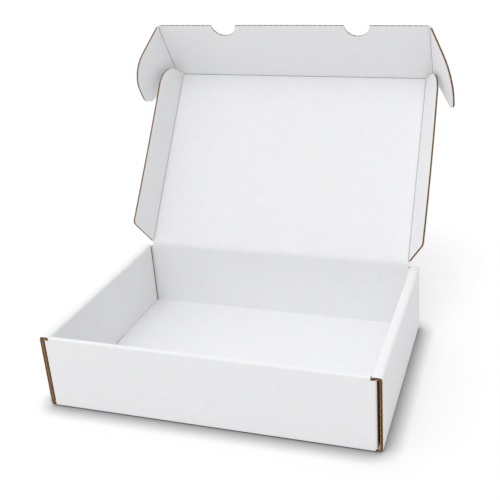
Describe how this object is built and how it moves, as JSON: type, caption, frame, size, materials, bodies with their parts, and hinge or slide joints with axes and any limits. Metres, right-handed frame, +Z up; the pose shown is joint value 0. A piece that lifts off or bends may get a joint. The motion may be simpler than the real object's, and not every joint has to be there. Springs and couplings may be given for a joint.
{
  "type": "corrugated mailer box",
  "caption": "White corrugated mailer box, open: folded tray with double side walls, hinged lid with side flaps, notched front flap and tuck ears.",
  "frame": {"origin": "on the tray's underside, under the middle of the tray", "axes": "+Z up, +X to the right of a person facing the open box, +Y from the front wall to the lid's hinge"},
  "size_m": [0.3692, 0.3473, 0.3196],
  "materials": {
    "board": "matt white-lined corrugated board with brown cut edges"
  },
  "bodies": {
    "tray": {"tray": "board"},
    "lid": {"lid_panel": "board"},
    "front_flap": {"lid_front_flap": "board"},
    "side_flap_left": {"lid_side_flap_left": "board"},
    "side_flap_right": {"lid_side_flap_right": "board"},
    "ear_left": {"lid_ear_left": "board"},
    "ear_right": {"lid_ear_right": "board"}
  },
  "joints": [
    {"name": "lid_hinge", "type": "hinge", "parent": "tray", "child": "lid", "pos_m": [0, 0.1078, 0.0775], "axis": [1, 0, 0], "range_deg": [-6, 117]},
    {"name": "front_flap_hinge", "type": "hinge", "parent": "lid", "child": "front_flap", "pos_m": [0, 0.23765, 0.25298], "axis": [1, 0, 0], "range_deg": [-66.8, 0]},
    {"name": "side_flap_left_hinge", "type": "hinge", "parent": "lid", "child": "side_flap_left", "pos_m": [-0.1532, 0.1078, 0.0775], "axis": [0, 0.5948, 0.8039], "range_deg": [-1.34, 16.88]},
    {"name": "side_flap_right_hinge", "type": "hinge", "parent": "lid", "child": "side_flap_right", "pos_m": [0.1532, 0.1078, 0.0775], "axis": [0, -0.5948, -0.8039], "range_deg": [-3.08, 50.81]},
    {"name": "ear_left_hinge", "type": "hinge", "parent": "front_flap", "child": "ear_left", "pos_m": [-0.1613, 0.23765, 0.25298], "axis": [0, -0.5045, 0.8634], "range_deg": [-77, 0]},
    {"name": "ear_right_hinge", "type": "hinge", "parent": "front_flap", "child": "ear_right", "pos_m": [0.1613, 0.23765, 0.25298], "axis": [0, 0.5045, -0.8634], "range_deg": [-64, 0]}
  ],
  "couplings": [
    {"joint": "side_flap_left_hinge", "follows": "lid_hinge", "ratio": 0.14},
    {"joint": "side_flap_right_hinge", "follows": "lid_hinge", "ratio": 0.43}
  ]
}
